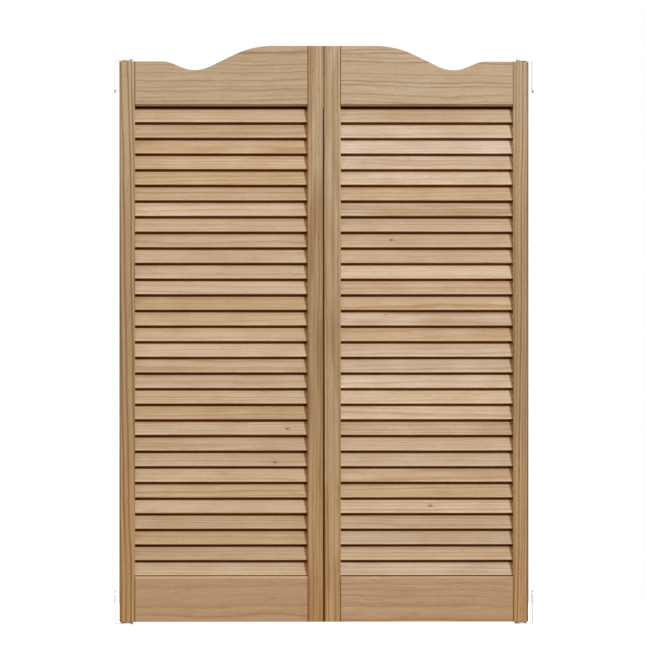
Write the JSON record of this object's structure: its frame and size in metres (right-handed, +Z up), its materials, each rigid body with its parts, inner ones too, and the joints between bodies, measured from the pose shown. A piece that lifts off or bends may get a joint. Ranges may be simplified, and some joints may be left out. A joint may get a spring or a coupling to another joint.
{
  "type": "cafe swinging doors",
  "caption": "Pair of unfinished pine louvred cafe doors with dipped tops and fixed sloping slats, hung on double-acting spring pivots between jamb brackets.",
  "frame": {"origin": "midway between the two leaves and through their thickness, level with the underside of the lower jamb brackets", "axes": "+Z up, parallel to both pivots; +X to the right across the doorway seen from the front; -Y towards the front, the side to which the slats' lower edges lie"},
  "size_m": [0.7766, 0.0286, 1.0716],
  "materials": {
    "pine_frame": "bare sanded pine, straight grain along each member",
    "pine_slats": "bare sanded pine, fine grain along the slat, each slat its own tint",
    "beech_dowel": "plain turned hardwood",
    "nickel_plate": "satin nickel plated steel",
    "nickel_screw": "bright nickel plated screw with cross recess",
    "steel_pin": "ground bright steel",
    "spring_steel": "oiled dark spring wire",
    "nylon": "natural nylon, slightly translucent white"
  },
  "bodies": {
    "jamb_hardware": {"left_upper_jamb_bracket": "nickel_plate", "left_lower_jamb_bracket": "nickel_plate", "left_upper_pivot_pin": "steel_pin", "left_lower_pivot_pin": "steel_pin", "left_thrust_washer": "nylon", "left_return_spring": "spring_steel", "right_upper_jamb_bracket": "nickel_plate", "right_lower_jamb_bracket": "nickel_plate", "right_upper_pivot_pin": "steel_pin", "right_lower_pivot_pin": "steel_pin", "right_thrust_washer": "nylon", "right_return_spring": "spring_steel"},
    "left_leaf": {"left_outer_stile": "pine_frame", "left_inner_stile": "pine_frame", "left_top_rail": "pine_frame", "left_bottom_rail": "pine_frame", "left_slats_01": "pine_slats", "left_slats_02": "pine_slats", "left_slats_03": "pine_slats", "left_slats_04": "pine_slats", "left_slats_05": "pine_slats", "left_slats_06": "pine_slats", "left_slats_07": "pine_slats", "left_slats_08": "pine_slats", "left_slats_09": "pine_slats", "left_slats_10": "pine_slats", "left_top_rail_dowels": "beech_dowel", "left_bottom_rail_dowels": "beech_dowel", "left_upper_door_plate": "nickel_plate", "left_lower_door_plate": "nickel_plate", "left_upper_plate_screws": "nickel_screw", "left_lower_plate_screws": "nickel_screw", "left_upper_bush": "nylon", "left_spring_socket": "nylon"},
    "right_leaf": {"right_outer_stile": "pine_frame", "right_inner_stile": "pine_frame", "right_top_rail": "pine_frame", "right_bottom_rail": "pine_frame", "right_slats_01": "pine_slats", "right_slats_02": "pine_slats", "right_slats_03": "pine_slats", "right_slats_04": "pine_slats", "right_slats_05": "pine_slats", "right_slats_06": "pine_slats", "right_slats_07": "pine_slats", "right_slats_08": "pine_slats", "right_slats_09": "pine_slats", "right_slats_10": "pine_slats", "right_top_rail_dowels": "beech_dowel", "right_bottom_rail_dowels": "beech_dowel", "right_upper_door_plate": "nickel_plate", "right_lower_door_plate": "nickel_plate", "right_upper_plate_screws": "nickel_screw", "right_lower_plate_screws": "nickel_screw", "right_upper_bush": "nylon", "right_spring_socket": "nylon"}
  },
  "joints": [
    {"name": "left_swing", "type": "hinge", "parent": "jamb_hardware", "child": "left_leaf", "pos_m": [-0.3645, 0, 0], "axis": [0, 0, 1], "range_deg": [-90, 90], "stiffness_Nm_per_rad": 0.8, "deforming": ["left_return_spring"]},
    {"name": "right_swing", "type": "hinge", "parent": "jamb_hardware", "child": "right_leaf", "pos_m": [0.3645, 0, 0], "axis": [0, 0, -1], "range_deg": [-90, 90], "stiffness_Nm_per_rad": 0.8, "deforming": ["right_return_spring"]}
  ]
}
